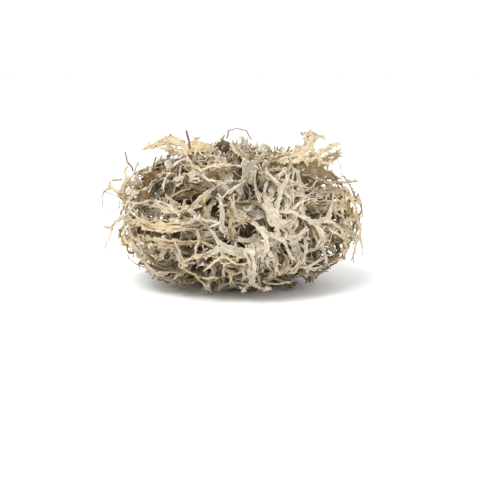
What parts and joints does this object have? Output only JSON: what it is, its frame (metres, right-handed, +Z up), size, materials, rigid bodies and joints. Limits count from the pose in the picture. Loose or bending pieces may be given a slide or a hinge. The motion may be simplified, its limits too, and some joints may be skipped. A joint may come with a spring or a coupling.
{
  "type": "clump of dried oakmoss lichen",
  "caption": "Loose rounded clump of dried oakmoss: flat forking lichen straps tangled round a matted heart, with scraps of bark, leaf and twig, resting on a small flat spot.",
  "frame": {"origin": "middle of the small flat spot on the underside that the clump rests on", "axes": "+Z up, square to the flat spot; -Y towards the viewer of the picture; +X to the viewer's right, along the clump's greatest width"},
  "size_m": [0.101, 0.0851, 0.0609],
  "materials": {
    "thallus_grey": "matt, finely wrinkled",
    "thallus_straw": "matt, finely wrinkled",
    "thallus_brown": "matt, finely wrinkled",
    "heart_brown": "matt, matted",
    "bark_brown": "rough bark",
    "twig_brown": "rough bark",
    "leaf_brown": "dry leaf",
    "leaf_rust": "dry leaf"
  },
  "bodies": {
    "root": {"bark_scrap": "bark_brown", "bent_fibre": "twig_brown", "leaf_scrap_lower": "leaf_brown", "leaf_scrap_upper": "leaf_brown", "matted_heart": "heart_brown", "rust_flake": "leaf_rust", "thallus_broad_plate": "thallus_grey", "thallus_coral_branch": "thallus_grey", "thallus_cross_link": "thallus_grey", "thallus_front_cross": "thallus_grey", "thallus_grey_back": "thallus_grey", "thallus_hanging_stub": "thallus_grey", "thallus_left_tuft": "thallus_straw", "thallus_net_lower": "thallus_grey", "thallus_net_upper": "thallus_grey", "thallus_outer_1": "thallus_straw", "thallus_outer_10": "thallus_grey", "thallus_outer_11": "thallus_brown", "thallus_outer_12": "thallus_brown", "thallus_outer_13": "thallus_grey", "thallus_outer_14": "thallus_grey", "thallus_outer_15": "thallus_straw", "thallus_outer_16": "thallus_grey", "thallus_outer_17": "thallus_grey", "thallus_outer_18": "thallus_grey", "thallus_outer_19": "thallus_brown", "thallus_outer_2": "thallus_grey", "thallus_outer_20": "thallus_brown", "thallus_outer_21": "thallus_straw", "thallus_outer_22": "thallus_brown", "thallus_outer_23": "thallus_grey", "thallus_outer_24": "thallus_grey", "thallus_outer_25": "thallus_grey", "thallus_outer_26": "thallus_straw", "thallus_outer_27": "thallus_grey", "thallus_outer_28": "thallus_straw", "thallus_outer_29": "thallus_grey", "thallus_outer_3": "thallus_grey", "thallus_outer_30": "thallus_grey", "thallus_outer_4": "thallus_grey", "thallus_outer_5": "thallus_straw", "thallus_outer_6": "thallus_grey", "thallus_outer_7": "thallus_grey", "thallus_outer_8": "thallus_straw", "thallus_outer_9": "thallus_grey", "thallus_right_horn": "thallus_straw", "thallus_right_low": "thallus_brown", "thallus_right_plume": "thallus_straw", "thallus_right_tuft_lower": "thallus_straw", "thallus_right_tuft_upper": "thallus_straw", "thallus_sweep_lower": "thallus_straw", "thallus_sweep_rim": "thallus_straw", "thallus_sweep_upper": "thallus_grey", "thallus_top_left_leaf": "thallus_straw", "thallus_top_plate": "thallus_grey", "thin_twig_left": "twig_brown", "thin_twig_middle": "twig_brown", "thin_twig_right": "twig_brown", "upright_twig": "twig_brown"}
  },
  "joints": []
}
